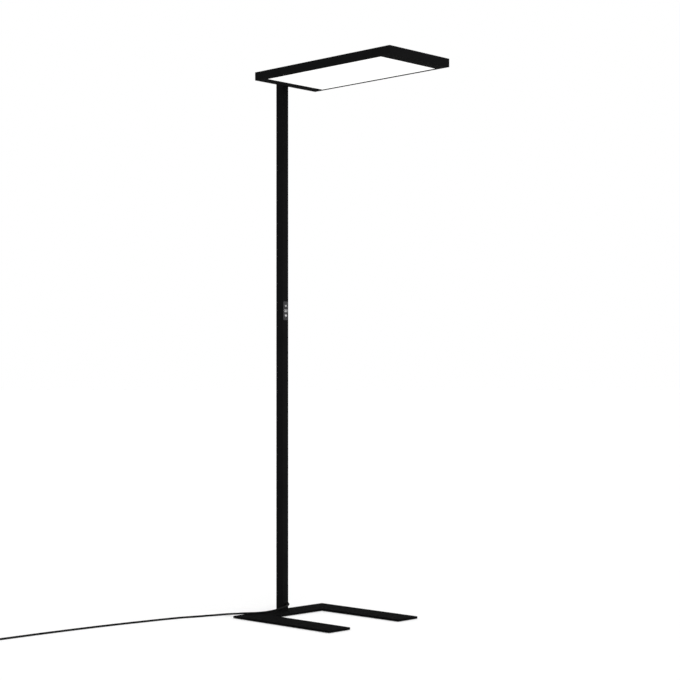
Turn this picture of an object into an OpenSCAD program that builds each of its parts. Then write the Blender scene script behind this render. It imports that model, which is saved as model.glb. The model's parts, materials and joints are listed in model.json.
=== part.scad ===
// Floor lamp for an office desk. A U-shaped steel foot carries a slim rectangular post,
// and a flat head on the post lights down through a wide panel and up through a window.
// X points from the post to the free end of the head, Y across the lamp and Z up.
// The origin is on the floor, under the middle of the lamp without its mains cord.

/* [Overall] */
// Height from the floor to the top of the head
lamp_h = 1950; // [1850:10:2100]

/* [Foot] */
// Length of the foot from its back edge to the ends of its arms
foot_l = 478; // [440:1:540]
// Width of the foot across both arms
foot_w = 448; // [420:1:500]
// Width of the back bar and of each arm
bar_w = 102; // [90:1:120]
// Thickness of the steel plate
plate_t = 8; // [6:0.5:10]
// Thickness of the glide pads under the plate
pad_t = 1.5; // [1:0.5:3]
// Diameter of a glide pad
pad_d = 20; // [14:1:30]

/* [Post] */
// Depth of the post, along the head
post_d = 36; // [36:0.5:44]
// Width of the post, across the head
post_w = 27; // [27:0.5:34]
// Wall thickness of the extruded tube
post_wall = 2; // [1.6:0.1:2.4]
// Height of the cord outlet above the floor
gland_z = 35; // [32:1:50]

/* [Head] */
// Length of the head from the post to its free end
head_l = 650; // [600:5:700]
// Width of the head
head_w = 304; // [290:2:340]
// Thickness of the head
head_t = 29; // [28:0.5:34]
// Width of the opaque strip at each end of the light panel
end_bezel = 52; // [48:1:60]
// Width of the opaque strip along each side of the light panel
side_bezel = 14; // [11:0.5:16]
// Wall thickness of the frame profiles
head_wall = 2; // [1.5:0.1:2.5]
// Length of the light window in the top cover
window_l = 500; // [400:10:520]
// Width of the light window in the top cover
window_w = 180; // [120:10:220]

/* [Keypad] */
// Height of the middle key above the floor
keypad_z = 1102; // [1000:1:1200]
// Width of the keypad's front plate
fascia_w = 24; // [22:0.5:25]
// Height of the keypad's front plate
fascia_h = 68; // [66:1:76]
// Distance between neighbouring keys
key_pitch = 17.5; // [17.5:0.5:20]
// Diameter of the upper and the lower key
key_d = 13; // [10:0.5:13]
// Width of the middle key
power_key_w = 18.4; // [14:0.1:18.4]
// Travel of each key when pressed
key_travel = 0.6; // [0.3:0.1:0.6]

/* [Mains cord] */
// Diameter of the mains cord
cord_d = 7; // [6:0.5:7]
// Turns in the stored coil, in two layers
coil_turns = 6.25; // [4.25:1:6.25]
// Radius of the coil's tightest turn
coil_r = 30.5; // [28:0.5:34]
// Distance between neighbouring turns and between the layers
coil_pitch = 7.5; // [7.5:0.1:8.5]

/* [Hidden] */
$fn = 48;

// A small overshoot, so that cutters pass right through what they cut
eps = 0.5;
// Play between a screw or a lead and the hole that it passes
play = 0.3;
// Play between a screw's thread and its tapped hole
thread_play = 0.05;
// Play between a sunk head and its seat
head_play = 0.1;

// Places along X and heights that several pieces share
x_back = -(post_d + head_l) / 2;
x_front = x_back + post_d;
x_far = x_front + head_l;
post_x = x_back + post_d / 2;
head_x = (x_front + x_far) / 2;
inner_d = post_d - 2 * post_wall;
inner_w = post_w - 2 * post_wall;
deck_z = pad_t + plate_t;
head_z = lamp_h - head_t;

// Blocks in the two ends of the post
block_gap = 0.2;
block_d = inner_d - 2 * block_gap;
block_w = inner_w - 2 * block_gap;
foot_block_h = 90;
foot_block_solid_h = 18.5;
groove_w = 11;
top_groove_w = 9;
groove_depth = 22;
post_corner = 1;
cap_t = 2;
cap_spigot_h = 2;
top_block_h = 60;

// Screws: radius of the shank, radius and height of the head, and lengths
m6_r = 3;
m6_head_r = 6;
m6_head_h = 3;
m5_r = 2.5;
m3_r = 1.5;
foot_screw_l = 25;
foot_screw_dx = 10;
cover_screw_l = 5.5;
set_screw_l = 9.5;
set_screw_z = [deck_z + 50, deck_z + 75];

// Joint between the head and the post
joint_z = lamp_h - 15;
joint_hole_r = 5;
bracket_screw_y = 7.5;
bracket_screw_z = 5.5;
bracket_head_r = 3.8;
bracket_head_h = 3.5;
bracket_screw_l = 24;
bracket_t = 4;
bracket_foot_t = 2.5;
bracket_foot_l = 36;
bracket_w = 120;
rivet_y = [-50, -30, 30, 50];
rivet_r = 2;
rivet_head_r = 3.5;
rivet_tail_r = 3;
rivet_tail_t = 1;

// Cord outlet
gland_r = 9;
gland_t = 3;
gland_edge = 1;
gland_neck_r = 6;
gland_neck_l = 9;
gland_play = 0.2;

// Frame, covers and light engine of the head
flange_t = 2;
ledge_w = 6;
ledge_t = 3;
cover_t = 1.5;
cover_gap = 0.2;
cover_screw_x = [-260, 0, 260];
cover_z = lamp_h - cover_t;
panel_l = head_l - 2 * end_bezel;
panel_w = head_w - 2 * side_bezel;
panel_gap = 0.3;
rim = 4;
tray_gap = 0.2;
tray_l = panel_l + 2 * (rim - tray_gap);
tray_w = panel_w + 2 * rim;
tray_wall = 1;
rim_t = 2;
tray_z = head_z + flange_t + rim_t;
tray_h = 15;
tray_top = tray_z + tray_h;
board_t = 1.6;
board_w = 20;
led_a = 3.5;
led_h = 0.8;
leds_per_board = 12;
down_y = [-105, -35, 35, 105];
down_inset = 9;
down_l = panel_l - 2 * down_inset;
up_y = [-55, 55];
up_inset = 10;
up_l = window_l - 2 * up_inset;
window_t = 2.2;
window_lap = 8;
driver_l = 270;
driver_w = 30;
driver_h = 21;
driver_x = x_far - 24;
driver_pad_t = 1;
driver_pad_l = 60;
driver_pad_w = driver_w - 4;
angle_leg = 30;
angle_t = 2;
angle_h = 12;
angle_lift = 4;

// Leads inside the post and the head
lead_r = cord_d / 2;
mains_up_x = x_front - 20;
mains_foot_bend = 10;
mains_top_bend = 14;
mains_top_z = joint_z + 1.4;
control_r = 1.25;
control_up_x = x_front - 9;
control_top_bend = 6;
control_top_z = joint_z - 3.6;
side_bend = 8;
feed_r = 1.75;
side_lead_y = head_w / 2 - 6;
down_lead_r = 0.8;
up_lead_r = 0.75;
terminal_x = x_front + 25;
terminal_y = 20;
terminal_size = [22, 28, 16];
terminal_pitch = 7;

// Keypad: front plate, carrier and board
fascia_t = 0.6;
fascia_corner = 4;
carrier_w = 21.2;
carrier_h = 62;
carrier_d = 12;
carrier_wall = 1;
carrier_corner = 2;
carrier_play = 0.2;
hook_size = [2.4, 8, 1.6];
hook_out = 0.4;
lead_slot_w = 4;
lead_slot_d = 5;
board_x = x_front - 9;
board_h = 57;
board_gap = 0.4;
board_hole_r = 1;
board_screw_r = 0.75;
board_screw_l = 6;
board_screw_head_r = 1.6;
board_screw_head_h = 1;
boss_r = 1.9;
boss_dz = 7.9;
boss_bore_r = 0.8;
boss_lap = 0.2;

// Keys and switches
power_key_h = 9.4;
power_flange_corner = 4;
key_play = 0.3;
key_proud = 0.3;
key_flange_t = 1;
key_flange_rim = 0.8;
key_flange_gap = 0.1;
key_stem_r = 2;
key_stem_gap = 0.2;
switch_a = 6;
switch_h = 3;
plunger_r = 1.6;
plunger_h = 0.7;

// Route of the free cord: distances from the post's front face, from the middle and
// from the floor. It leaves the gland in a loop, runs over the foot's back edge and then
// lies on the floor. The boot covers its first points.
deck_play = 0.05;
on_deck = deck_z + cord_d / 2 + deck_play;
on_floor = cord_d / 2;
cord_route = [
    [3, 0, gland_z], [12.5, -2, gland_z], [20.5, -7, gland_z - 0.7], [27, -15, gland_z - 2.3],
    [30, -25, 30], [29.5, -36, 27.5], [25.5, -47, 24.3], [18.5, -57, 20.5], [11, -67, 17],
    [4, -79, 14.8], [0, -94, on_deck + 0.2], [-3, -110, on_deck], [-7, -126, on_deck],
    [-15, -143, on_deck], [-26, -159, on_deck + 0.1], [-38, -174, 13], [-59, -183, 10.4],
    [-86, -190, 7.4], [-110, -207, 5], [-126, -235, on_floor + 0.1], [-136, -262, on_floor],
    [-145, -292, on_floor], [-156, -322, on_floor], [-169, -360, on_floor],
    [-184, -438, on_floor], [-196, -518, on_floor], [-207, -598, on_floor],
    [-216, -678, on_floor], [-222, -753, on_floor], [-227, -828, on_floor],
    [-231, -903, on_floor], [-233, -978, on_floor], [-234.5, -1055, on_floor],
    [-235, -1100, on_floor], [-235, -1128, on_floor]
];
boot_end = 3;
boot_r = 5.6;
boot_tip_r = 4;
boot_step = 4;
ring_step = 21;
cord_sides = 12;

// Coil of the cord that is put away. It starts one straight coil_end past the route's end.
coil_end = cord_d;
coil_start = cord_route[len(cord_route) - 1];
coil_out_r = coil_r + coil_pitch * coil_turns / 2;
coil_x = x_front + coil_start[0] - coil_out_r;
coil_y = coil_start[1] - coil_end;
coil_rings = 24;
coil_sides = 6;
top_layer = on_floor + coil_pitch;

// Tail of the cord: distances from the middle of the coil, from its end to the plug
plug_entry = [-84, -57, 9];
tail_route = [
    [-coil_end, -coil_out_r, top_layer], [-18, -coil_out_r, top_layer - 0.4], [-32, -54.5, 8.2],
    [-46, -55, 5.2], [-60, -56, 4.3], [-72, -56.5, 6.2], plug_entry
];

// Plug, lying on its back beside the coil
plug_r = 19;
plug_h = 26;
plug_back_h = 20;
plug_edge = 3;
plug_boot_l = 25;
plug_boot_r = 6.5;
plug_boot_lap = 2;
plug_x = coil_x + plug_entry[0] - plug_boot_l - plug_r + plug_boot_lap;
plug_y = coil_y + plug_entry[1];
pin_r = 2.4;
pin_dx = 9.5;
pin_l = 19;
pin_root = 14;
pin_tip_l = 1;
pin_tip_r = 1.5;
earth_hole_y = 6;
earth_w = 4.5;
earth_t = 1;
earth_slot_d = 5;

// ---- Shared shapes ----

// Rectangle with round corners, centred
module rounded_rect(l, w, r) {
    square([l - 2 * r, w], center = true);
    square([l, w - 2 * r], center = true);
    for (sx = [-1, 1])
        for (sy = [-1, 1])
            translate([sx * (l / 2 - r), sy * (w / 2 - r)]) circle(r);
}

// Round bar along X
module bar_x(x0, x1, r) {
    translate([x0, 0, 0]) rotate([0, 90, 0]) cylinder(h = x1 - x0, r = r);
}

// Plan or elevation drawn in Y and Z, given a thickness along X
module slab_x(x0, x1) {
    translate([x0, 0, 0]) rotate([90, 0, 90]) linear_extrude(x1 - x0) children();
}

// Block between two corners
module block(low, high) {
    translate(low) cube(high - low);
}

// Screw with a countersunk head at Z 0 and a hexagon socket, its shank rising along Z
module flat_head_screw(r, head_r, head_h, l) {
    socket_share = 0.6;
    difference() {
        union() {
            cylinder(h = head_h, r1 = head_r, r2 = r);
            cylinder(h = l, r = r);
        }
        translate([0, 0, -eps])
            cylinder(h = head_h * socket_share + eps, r = r * socket_share, $fn = 6);
    }
}

// What such a screw needs in the plate that its head sinks into
module flat_head_hole(r, head_r, head_h, depth) {
    translate([0, 0, -eps]) cylinder(h = depth + 2 * eps, r = r + play);
    translate([0, 0, -eps])
        cylinder(h = head_h + eps, r1 = head_r + eps + head_play, r2 = r + head_play);
}

// Quarter bend of a round lead: from +X towards +Y about the point [0, bend]
module quarter_bend(bend, r) {
    translate([0, bend, 0]) rotate([0, 0, -90]) rotate_extrude(angle = 90)
        translate([bend, 0]) circle(r);
}

// ---- Functions for the cord ----

function unit(v) = v / norm(v);

function place(pts, i) =
    i < 0 ? 2 * pts[0] - pts[1] :
    i >= len(pts) ? 2 * pts[len(pts) - 1] - pts[len(pts) - 2] : pts[i];

// Point on the smooth curve from b to c, with a before and d after them
function between(a, b, c, d, t) =
    0.5 * (2 * b + (c - a) * t + (2 * a - 5 * b + 4 * c - d) * t * t
    + (3 * b - a - 3 * c + d) * t * t * t);

// A point of the cord's middle, never so low that the cord would sink into the floor
function above_floor(p) = [p[0], p[1], max(p[2], on_floor)];

// Points along the smooth curve from route point first to last, at most step apart
function smooth(pts, first, last, step) = [
    for (i = [first : last - 1])
        let (n = max(1, ceil(norm(pts[i + 1] - pts[i]) / step)))
        for (k = [0 : n - 1])
            above_floor(between(place(pts, i - 1), pts[i], pts[i + 1], place(pts, i + 2), k / n)),
    pts[last]
];

// Tube swept along points, with one radius per point and square ends
module swept_tube(pts, radii, sides, start_dir, end_dir) {
    last = len(pts) - 1;
    rings = [
        for (i = [0 : last])
            let (t = i == 0 ? start_dir : i == last ? end_dir : unit(pts[i + 1] - pts[i - 1]),
                 s = unit(cross(t, [0, 0, 1])), u = cross(s, t))
            for (k = [0 : sides - 1])
                pts[i] + radii[i] * (cos(360 * k / sides) * s + sin(360 * k / sides) * u)
    ];
    start_cap = [for (k = [1 : sides - 2]) [0, k + 1, k]];
    end_cap = [for (k = [1 : sides - 2]) [last * sides, last * sides + k, last * sides + k + 1]];
    walls = [
        for (i = [0 : last - 1])
            for (k = [0 : sides - 1])
                let (a = i * sides + k, b = i * sides + (k + 1) % sides)
                for (f = [[a, b, b + sides], [a, b + sides, a + sides]]) f
    ];
    polyhedron(points = rings, faces = concat(start_cap, walls, end_cap), convexity = 10);
}

// The coil winds clockwise from the cord's end, spirals in on the floor, climbs a layer
// in the half turn where it reverses and spirals out again on top.
coil_steps = round(coil_turns * coil_rings);
function coil_climb(t) = let (c = min(1, max(0, (t - coil_turns / 2) * 2 + 0.5)))
    c * c * (3 - 2 * c);
function coil_point(t) = let (r = coil_r + coil_pitch * abs(t - coil_turns / 2))
    [coil_x + r * cos(-360 * t), coil_y + r * sin(-360 * t), on_floor + coil_pitch * coil_climb(t)];
coil_loops = [for (i = [0 : coil_steps]) coil_point(i / coil_rings)];
coil_end_dir = [-1, 0, 0];
coil_path = concat(
    [coil_loops[0] + [0, coil_end, 0]],
    coil_loops,
    [coil_loops[coil_steps] + coil_end * coil_end_dir]
);
coil_gap = min([
    for (i = [0 : coil_steps - coil_rings / 2])
        for (j = [i + coil_rings / 2 : coil_steps]) norm(coil_loops[i] - coil_loops[j])
]) - cord_d;

free_route = [for (p = cord_route) p + [x_front, 0, 0]];
boot_dir = unit(free_route[boot_end + 1] - free_route[boot_end - 1]);
tail_points = [for (p = tail_route) p + [coil_x, coil_y, 0]];

function path_length(pts) = [for (i = [1 : len(pts) - 1]) norm(pts[i] - pts[i - 1])]
    * [for (i = [1 : len(pts) - 1]) 1];
free_points = smooth(free_route, boot_end, len(free_route) - 1, ring_step);
tail_smooth = smooth(tail_points, 0, len(tail_points) - 1, ring_step);

echo(coil_least_gap = coil_gap);
echo(cord_length = path_length(free_points) + path_length(coil_path) + path_length(tail_smooth));
echo(cord_rings = len(free_points) + len(tail_smooth), coil_rings = len(coil_path));

// ---- Foot ----

// Laser-cut steel plate, open towards the desk, with two countersunk holes for the post
module foot_plate() {
    color("#17181a") difference() {
        translate([x_back, 0, pad_t]) linear_extrude(plate_t) difference() {
            translate([0, -foot_w / 2]) square([foot_l, foot_w]);
            translate([bar_w, -foot_w / 2 + bar_w]) square([foot_l, foot_w - 2 * bar_w]);
        }
        for (sx = [-1, 1])
            translate([post_x + sx * foot_screw_dx, 0, pad_t])
                flat_head_hole(m6_r, m6_head_r, m6_head_h, plate_t);
    }
}

// Self-adhesive discs that the plate stands on
module glide_pads() {
    inset = 25;
    back_x = x_back + inset;
    back_y = foot_w / 2 - inset;
    tip_x = x_back + foot_l - inset;
    tip_y = (foot_w - bar_w) / 2;
    mid_x = x_back + bar_w - 20;
    mid_y = tip_y - 60;
    places = [
        [tip_x, tip_y], [tip_x, -tip_y], [back_x, back_y], [back_x, -back_y],
        [mid_x, mid_y], [mid_x, -mid_y]
    ];
    color("#2b2b2b") for (p = places)
        translate([p[0], p[1], 0]) cylinder(h = pad_t, r = pad_d / 2);
}

// Steel block inside the post's foot, with a groove that the cord rises in
module foot_block() {
    color("#8d8f91") difference() {
        translate([post_x, 0, deck_z + foot_block_h / 2])
            cube([block_d, block_w, foot_block_h], center = true);
        block([x_front - post_wall - groove_depth, -groove_w / 2, deck_z + foot_block_solid_h],
              [x_front, groove_w / 2, deck_z + foot_block_h + eps]);
        translate([0, 0, gland_z])
            bar_x(x_front - gland_neck_l - 2 * eps, x_front, gland_neck_r + gland_play);
        for (sx = [-1, 1])
            translate([post_x + sx * foot_screw_dx, 0, deck_z - eps])
                cylinder(h = foot_block_solid_h + 2 * eps, r = m6_r + thread_play);
        for (z = set_screw_z)
            translate([0, 0, z])
                bar_x(x_back, x_back + set_screw_l + 2 * eps, m5_r + thread_play);
    }
}

// Two screws from below that hold the post's block on the plate
module foot_screws() {
    color("#a8abad") for (sx = [-1, 1])
        translate([post_x + sx * foot_screw_dx, 0, pad_t])
            flat_head_screw(m6_r, m6_head_r, m6_head_h, foot_screw_l);
}

// ---- Post ----

// Extruded aluminium tube with cut-outs for the cord, the keypad and the head
module post_tube() {
    tube_h = lamp_h - cap_t - deck_z;
    front = [x_front - post_wall - eps, x_front + eps];
    color("#17181a") difference() {
        translate([post_x, 0, deck_z]) linear_extrude(tube_h)
            rounded_rect(post_d, post_w, post_corner);
        translate([post_x, 0, deck_z + tube_h / 2])
            cube([inner_d, inner_w, tube_h + 2 * eps], center = true);
        translate([0, 0, gland_z]) bar_x(front[0], front[1], gland_neck_r + gland_play);
        translate([0, 0, keypad_z]) slab_x(front[0], front[1])
            rounded_rect(carrier_w + 2 * carrier_play, carrier_h + 2 * carrier_play, carrier_corner);
        for (z = set_screw_z)
            translate([0, 0, z]) bar_x(x_back - eps, x_back + post_wall + eps, m5_r + play);
        translate([0, 0, joint_z]) {
            bar_x(front[0], front[1], joint_hole_r);
            bracket_screw_places() bar_x(front[0], front[1], m5_r + play);
        }
    }
}

// Grub screws in the back of the post that lock it on its foot block
module post_set_screws() {
    sink = 0.5;
    socket_r = 1.4;
    socket_depth = 2.5;
    color("#3a3b3d") for (z = set_screw_z)
        translate([x_back + sink, 0, z]) difference() {
            bar_x(0, set_screw_l, m5_r);
            rotate([0, 90, 0]) translate([0, 0, -eps])
                cylinder(h = socket_depth + eps, r = socket_r, $fn = 6);
        }
}

// Moulded cap that closes the top of the post
module post_cap() {
    color("#1b1c1e") {
        translate([post_x, 0, lamp_h - cap_t]) linear_extrude(cap_t)
            rounded_rect(post_d, post_w, post_corner);
        translate([post_x, 0, lamp_h - cap_t - cap_spigot_h]) linear_extrude(cap_spigot_h)
            square([block_d, block_w], center = true);
    }
}

// Aluminium block inside the top of the post, tapped for the bracket's screws
module post_top_block() {
    top = lamp_h - cap_t - cap_spigot_h;
    groove_top = joint_z + 7;
    color("#8d8f91") difference() {
        block([post_x - block_d / 2, -block_w / 2, top - top_block_h],
              [post_x + block_d / 2, block_w / 2, top]);
        block([x_front - post_wall - groove_depth, -top_groove_w / 2, top - top_block_h - eps],
              [x_front, top_groove_w / 2, groove_top]);
        translate([0, 0, joint_z]) bracket_screw_places()
            bar_x(x_front - bracket_screw_l, x_front, m5_r + thread_play);
    }
}

// ---- Joint between post and head ----

// Four places around the lead hole, measured from its centre
module bracket_screw_places() {
    for (sy = [-1, 1])
        for (sz = [-1, 1])
            translate([0, sy * bracket_screw_y, sz * bracket_screw_z]) children();
}

// Folded steel bracket that stiffens the frame where the head hangs on the post
module head_bracket() {
    wall_x = x_front + head_wall;
    low = [wall_x, -bracket_w / 2, head_z + flange_t];
    under_ledge = cover_z - ledge_t - 0.1;
    color("#9a9c9e") difference() {
        union() {
            block(low, [wall_x + bracket_t, bracket_w / 2, under_ledge]);
            block(low, [wall_x + bracket_t + bracket_foot_l, bracket_w / 2,
                        low[2] + bracket_foot_t]);
        }
        translate([0, 0, joint_z]) {
            bar_x(wall_x - eps, wall_x + bracket_t + eps, joint_hole_r);
            bracket_screw_places() bar_x(wall_x - eps, wall_x + bracket_t + eps, m5_r + play);
            for (y = rivet_y)
                translate([0, y, 0])
                    bar_x(wall_x - eps, wall_x + bracket_t + eps, rivet_r + thread_play);
        }
    }
}

// Screws from inside the head, through bracket, frame and tube, into the top block
module bracket_screws() {
    socket_r = 1.7;
    socket_floor = 1.5;
    seat = x_front + head_wall + bracket_t;
    color("#3a3b3d") translate([0, 0, joint_z]) bracket_screw_places() difference() {
        union() {
            bar_x(seat - bracket_screw_l - head_wall, seat, m5_r);
            bar_x(seat, seat + bracket_head_h, bracket_head_r);
        }
        translate([seat + socket_floor, 0, 0]) rotate([0, 90, 0])
            cylinder(h = bracket_head_h, r = socket_r, $fn = 6);
    }
}

// Flush rivets that hold the bracket in the frame
module bracket_rivets() {
    inner = x_front + head_wall + bracket_t;
    color("#17181a") for (y = rivet_y)
        translate([0, y, joint_z]) {
            bar_x(x_front, inner, rivet_r);
            translate([x_front, 0, 0]) rotate([0, 90, 0])
                cylinder(h = rivet_head_r - rivet_r, r1 = rivet_head_r, r2 = rivet_r);
            bar_x(inner, inner + rivet_tail_t, rivet_tail_r);
        }
}

// ---- Cord outlet, cord and plug ----

// Round gland with a threaded neck, screwed into the foot block
module cable_gland() {
    edge_x = x_front + gland_t - gland_edge;
    bore_r = lead_r + 0.1;
    color("#101010") translate([0, 0, gland_z]) difference() {
        union() {
            bar_x(x_front - gland_neck_l, x_front, gland_neck_r);
            bar_x(x_front, edge_x, gland_r);
            translate([edge_x, 0, 0]) rotate([0, 90, 0])
                cylinder(h = gland_edge, r1 = gland_r, r2 = gland_r - gland_edge);
        }
        bar_x(x_front - gland_neck_l - eps, x_front + gland_t + eps, bore_r);
    }
}

// Tapered rubber boot that bends with the cord
module cord_boot() {
    pts = smooth(free_route, 0, boot_end, boot_step);
    last = len(pts) - 1;
    color("#0c0c0c") swept_tube(
        pts, [for (i = [0 : last]) boot_r + (boot_tip_r - boot_r) * i / last],
        cord_sides, [1, 0, 0], boot_dir
    );
}

// Free length of the cord, from the boot to the coil
module mains_cord() {
    color("#0c0c0c") swept_tube(
        free_points, [for (p = free_points) cord_d / 2], cord_sides, boot_dir, [0, -1, 0]
    );
}

// Length that is put away, wound in two layers
module cord_coil() {
    color("#0c0c0c") swept_tube(
        coil_path, [for (p = coil_path) cord_d / 2], coil_sides, [0, -1, 0], coil_end_dir
    );
}

// Short end of the cord, from the coil down to the plug
module cord_tail() {
    color("#0c0c0c") swept_tube(
        tail_smooth, [for (p = tail_smooth) cord_d / 2], cord_sides, coil_end_dir,
        coil_end_dir
    );
}

// Moulded earthed plug with its cord entry at the side
module plug_body() {
    nose_r = plug_r - 1.5;
    shoulder = [plug_back_h - 1, plug_back_h + 1];
    slot_z = plug_h / 2 + 4;
    color("#141414") translate([plug_x, plug_y, 0]) difference() {
        union() {
            rotate_extrude() polygon([
                [0, 0], [plug_r - plug_edge, 0], [plug_r, plug_edge], [plug_r, shoulder[0]],
                [nose_r, shoulder[1]], [nose_r, plug_h], [0, plug_h]
            ]);
            translate([plug_r - plug_boot_lap, 0, plug_entry[2]]) rotate([0, 90, 0])
                cylinder(h = plug_boot_l, r1 = plug_boot_r, r2 = boot_tip_r);
        }
        for (sx = [-1, 1])
            translate([sx * pin_dx, 0, plug_h - pin_root])
                cylinder(h = pin_root + eps, r = pin_r + thread_play);
        translate([0, earth_hole_y, plug_h - pin_root]) cylinder(h = pin_root + eps, r = pin_r);
        for (sy = [-1, 1])
            translate([0, sy * (plug_r - 1), slot_z])
                cube([earth_w + 1, earth_slot_d, plug_h], center = true);
    }
}

// Two pins and two earth strips
module plug_contacts() {
    pin_body_l = pin_root + pin_l - pin_tip_l;
    strip_y = plug_r - 2.9;
    strip_z = plug_h / 2 + 2;
    strip_h = plug_h - 8;
    color("#c9cbcc") translate([plug_x, plug_y, 0]) {
        for (sx = [-1, 1])
            translate([sx * pin_dx, 0, plug_h - pin_root]) {
                cylinder(h = pin_body_l, r = pin_r);
                translate([0, 0, pin_body_l]) cylinder(h = pin_tip_l, r1 = pin_r, r2 = pin_tip_r);
            }
        for (sy = [-1, 1])
            translate([0, sy * strip_y, strip_z])
                cube([earth_w, earth_t, strip_h], center = true);
    }
}

// ---- Leads inside ----

// Mains lead from the gland up the post, over into the head and round to the terminals
module post_mains_lead() {
    foot_x = mains_up_x + mains_foot_bend;
    turn_z = mains_top_z - mains_top_bend;
    side_x = terminal_x - side_bend;
    color("#202022") {
        translate([0, 0, gland_z]) bar_x(foot_x, x_front + gland_t, lead_r);
        translate([foot_x, 0, gland_z]) rotate([90, 0, 180]) quarter_bend(mains_foot_bend, lead_r);
        translate([mains_up_x, 0, gland_z + mains_foot_bend])
            cylinder(h = turn_z - gland_z - mains_foot_bend, r = lead_r);
        translate([mains_up_x, 0, turn_z]) rotate([0, 0, 180]) rotate([0, -90, 90])
            quarter_bend(mains_top_bend, lead_r);
        translate([0, 0, mains_top_z]) {
            bar_x(mains_up_x + mains_top_bend, side_x, lead_r);
            translate([side_x, 0, 0]) quarter_bend(side_bend, lead_r);
            translate([terminal_x, side_bend, 0]) rotate([-90, 0, 0])
                cylinder(h = terminal_y - side_bend, r = lead_r);
        }
    }
}

// Run of a thin lead beside the tray: out along Y, along the head and into the driver
module side_run(from_y, r) {
    turn_y = side_lead_y - side_bend;
    translate([terminal_x, from_y, 0]) rotate([-90, 0, 0])
        cylinder(h = turn_y - from_y, r = r);
    translate([terminal_x, turn_y, 0]) mirror([1, 0, 0]) rotate([0, 0, 90])
        quarter_bend(side_bend, r);
    translate([0, side_lead_y, 0]) bar_x(terminal_x + side_bend, driver_x - side_bend, r);
    translate([driver_x - side_bend, side_lead_y, 0]) mirror([0, 1, 0]) quarter_bend(side_bend, r);
    translate([driver_x, driver_l / 2, 0]) rotate([-90, 0, 0])
        cylinder(h = turn_y - driver_l / 2, r = r);
}

// Control lead from the keypad up the post and along the head to the driver
module control_lead() {
    foot_z = keypad_z + board_h / 2 + 0.7;
    turn_z = control_top_z - control_top_bend;
    side_x = terminal_x - side_bend;
    color("#3c3c40") {
        translate([control_up_x, 0, foot_z]) cylinder(h = turn_z - foot_z, r = control_r);
        translate([control_up_x, 0, turn_z]) rotate([0, 0, 180]) rotate([0, -90, 90])
            quarter_bend(control_top_bend, control_r);
        translate([0, 0, control_top_z]) mirror([0, 1, 0]) {
            bar_x(control_up_x + control_top_bend, side_x, control_r);
            translate([side_x, 0, 0]) quarter_bend(side_bend, control_r);
            side_run(side_bend, control_r);
        }
    }
}

// Mains lead from the terminals to the driver, along the other side of the head
module driver_lead() {
    color("#5a4a3a") translate([0, 0, control_top_z])
        side_run(terminal_y + terminal_size[1], feed_r);
}

// ---- Keypad ----

// Outline of the middle key, a pill, grown by a margin. Its ends keep a sliver of flat.
module pill(w, h, margin) {
    flat = 0.01;
    rounded_rect(w + 2 * margin, h + 2 * margin, h / 2 + margin - flat);
}

// Openings for the three keys, drawn about the middle one
module key_openings(margin) {
    for (s = [-1, 1])
        translate([0, s * key_pitch]) circle(key_d / 2 + margin);
    pill(power_key_w, power_key_h, margin);
}

// Grey front plate of the keypad
module keypad_fascia() {
    color("#4a4b4e") translate([0, 0, keypad_z]) difference() {
        slab_x(x_front, x_front + fascia_t) rounded_rect(fascia_w, fascia_h, fascia_corner);
        slab_x(x_front - eps, x_front + fascia_t + eps) key_openings(key_play);
    }
}

// Moulded box behind it that snaps into the post and guides the keys
module keypad_carrier() {
    inside = x_front - carrier_wall;
    back = x_front - carrier_d;
    bore_end = inside - 1;
    hook_x = x_front - post_wall - 1.6;
    color("#26272a") translate([0, 0, keypad_z]) {
        difference() {
            slab_x(back, x_front) rounded_rect(carrier_w, carrier_h, carrier_corner);
            slab_x(back - eps, inside)
                rounded_rect(carrier_w - 2 * carrier_wall, carrier_h - 2 * carrier_wall,
                             carrier_corner - carrier_wall);
            slab_x(inside - eps, x_front + eps) key_openings(key_play);
            block([back - eps, -lead_slot_w / 2, 0],
                  [back + lead_slot_d, lead_slot_w / 2, carrier_h]);
        }
        for (s = [-1, 1])
            translate([0, 0, s * boss_dz]) difference() {
                bar_x(board_x, inside + boss_lap, boss_r);
                bar_x(board_x - eps, bore_end, boss_bore_r);
            }
        for (s = [-1, 1])
            translate([hook_x, 0, s * (carrier_h / 2 + hook_out)]) cube(hook_size, center = true);
    }
}

// Circuit board on the carrier's bosses
module keypad_board() {
    board_fit_w = carrier_w - 2 * (carrier_wall + board_gap);
    color("#1f5a34") translate([0, 0, keypad_z]) difference() {
        slab_x(board_x - board_t, board_x) square([board_fit_w, board_h], center = true);
        for (s = [-1, 1])
            translate([0, 0, s * boss_dz])
                bar_x(board_x - board_t - eps, board_x + eps, board_hole_r);
    }
}

// Three short-travel switches on the board
module key_switches() {
    color("#2a2a2a") for (s = [-1, 0, 1])
        translate([board_x, 0, keypad_z + s * key_pitch]) {
            translate([switch_h / 2, 0, 0]) cube([switch_h, switch_a, switch_a], center = true);
            bar_x(switch_h, switch_h + plunger_h, plunger_r);
        }
}

// Two small screws that hold the board on its bosses
module board_screws() {
    seat = board_x - board_t;
    color("#b5b7b8") for (s = [-1, 1])
        translate([0, 0, keypad_z + s * boss_dz]) {
            bar_x(seat, seat + board_screw_l, board_screw_r);
            bar_x(seat - board_screw_head_h, seat, board_screw_head_r);
        }
}

// A key: a cap through the front plate, a flange behind it and a stem over its switch.
// Its outline is drawn once, and grown for the flange.
module key(z) {
    front = x_front + fascia_t + key_proud;
    flange = x_front - carrier_wall - key_flange_gap;
    stem_end = board_x + switch_h + plunger_h + key_travel + key_stem_gap;
    color("#303134") translate([0, 0, z]) {
        slab_x(flange, front) children(0);
        slab_x(flange - key_flange_t, flange) children(1);
        bar_x(stem_end, flange, key_stem_r);
    }
}

// Upper round key
module key_up() {
    key(keypad_z + key_pitch) {
        circle(key_d / 2);
        circle(key_d / 2 + key_flange_rim);
    }
}

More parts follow.
